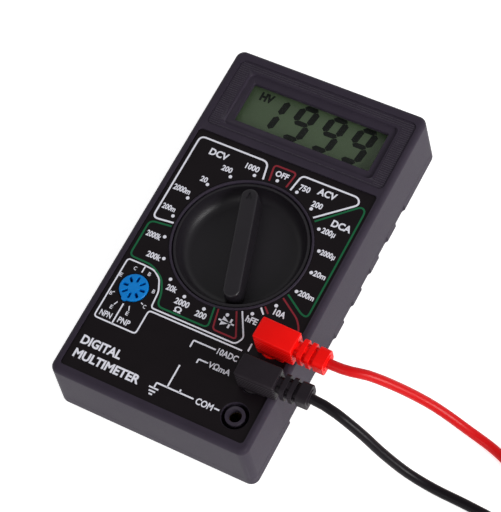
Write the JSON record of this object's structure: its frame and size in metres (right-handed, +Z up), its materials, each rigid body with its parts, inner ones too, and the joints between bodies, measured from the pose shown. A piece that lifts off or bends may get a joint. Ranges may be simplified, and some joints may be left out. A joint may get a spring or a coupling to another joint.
{
  "type": "pocket digital multimeter",
  "caption": "Pocket digital multimeter with display, rotary range dial, transistor socket and front jacks, with a red and a black test lead plugged in.",
  "frame": {"origin": "centre of the case's underside, on the surface it lies on", "axes": "+X across the meter towards the jacks, +Y along the meter towards the display, +Z up out of its face"},
  "size_m": [0.2126, 0.1605, 0.0347],
  "materials": {
    "case_plastic": "fine-textured charcoal ABS with a slight purple tint",
    "label_print": "near-black printed label with white, green and dark red print",
    "clear_plastic": "clear polished plastic window",
    "display_glass": "olive-grey reflective liquid crystal glass",
    "white_plastic": "natural white moulding",
    "pink_rubber": "layered conductive rubber",
    "circuit_board": "green solder resist over fibre board",
    "brass": "tinned brass, drawn",
    "blue_plastic": "bright blue moulding",
    "fuse_glass": "clear glass with bright metal ends",
    "steel": "nickel-plated",
    "black_epoxy": "poured black epoxy",
    "capacitor_sleeve": "shrink sleeve",
    "capacitor_resin": "dipped resin",
    "copper_wire": "bare resistance wire",
    "battery_wrap": "plain printed metal jacket with no mark",
    "black_plastic": "soft moulded vinyl",
    "dial_plastic": "smooth black moulding with a slight sheen",
    "red_plastic": "soft moulded vinyl",
    "red_cable": "smooth vinyl insulation",
    "black_cable": "smooth vinyl insulation",
    "tie_strap": "soft vinyl strap"
  },
  "bodies": {
    "meter": {"front_case": "case_plastic", "rear_cover": "case_plastic", "rear_screw_left": "steel", "rear_screw_right": "steel", "face_label": "label_print", "display_window": "clear_plastic", "display_glass": "display_glass", "display_frame": "white_plastic", "display_connector": "pink_rubber", "main_board": "circuit_board", "board_screw_1": "steel", "board_screw_2": "steel", "board_screw_3": "steel", "board_screw_4": "steel", "jack_com": "brass", "jack_vohm": "brass", "jack_10a": "brass", "transistor_socket": "blue_plastic", "fuse": "fuse_glass", "fuse_clip_left": "steel", "fuse_clip_right": "steel", "chip_cover": "black_epoxy", "trimmer": "blue_plastic", "capacitor_round": "capacitor_sleeve", "capacitor_film_1": "capacitor_resin", "capacitor_film_2": "capacitor_resin", "shunt_wire": "copper_wire", "battery": "battery_wrap", "battery_snap": "black_plastic", "battery_wire_red": "red_cable", "battery_wire_black": "black_cable", "red_lead": "red_cable", "red_coil": "red_cable", "red_coil_tie": "tie_strap", "red_lead_end": "red_cable", "red_probe_handle": "red_plastic", "red_probe_tip": "steel", "black_lead": "black_cable", "black_coil": "black_cable", "black_coil_tie": "tie_strap", "black_lead_end": "black_cable", "black_probe_handle": "black_plastic", "black_probe_tip": "steel"},
    "dial": {"dial_knob": "dial_plastic", "detent_ball_left": "steel", "detent_ball_right": "steel", "detent_spring_left": "steel", "detent_spring_right": "steel", "wiper_1": "brass", "wiper_2": "brass", "wiper_3": "brass"},
    "red_plug": {"red_plug_body": "red_plastic", "red_plug_pin": "steel"},
    "black_plug": {"black_plug_body": "black_plastic", "black_plug_pin": "steel"}
  },
  "joints": [
    {"name": "dial_turn", "type": "hinge", "parent": "meter", "child": "dial", "pos_m": [0.0002, -0.001, 0.0175], "axis": [0, 0, 1], "continuous": true},
    {"name": "red_plug_pull", "type": "slide", "parent": "meter", "child": "red_plug", "axis": [0, 0, 1], "range_m": [0, 0.018]},
    {"name": "black_plug_pull", "type": "slide", "parent": "meter", "child": "black_plug", "axis": [0, 0, 1], "range_m": [0, 0.018]}
  ]
}
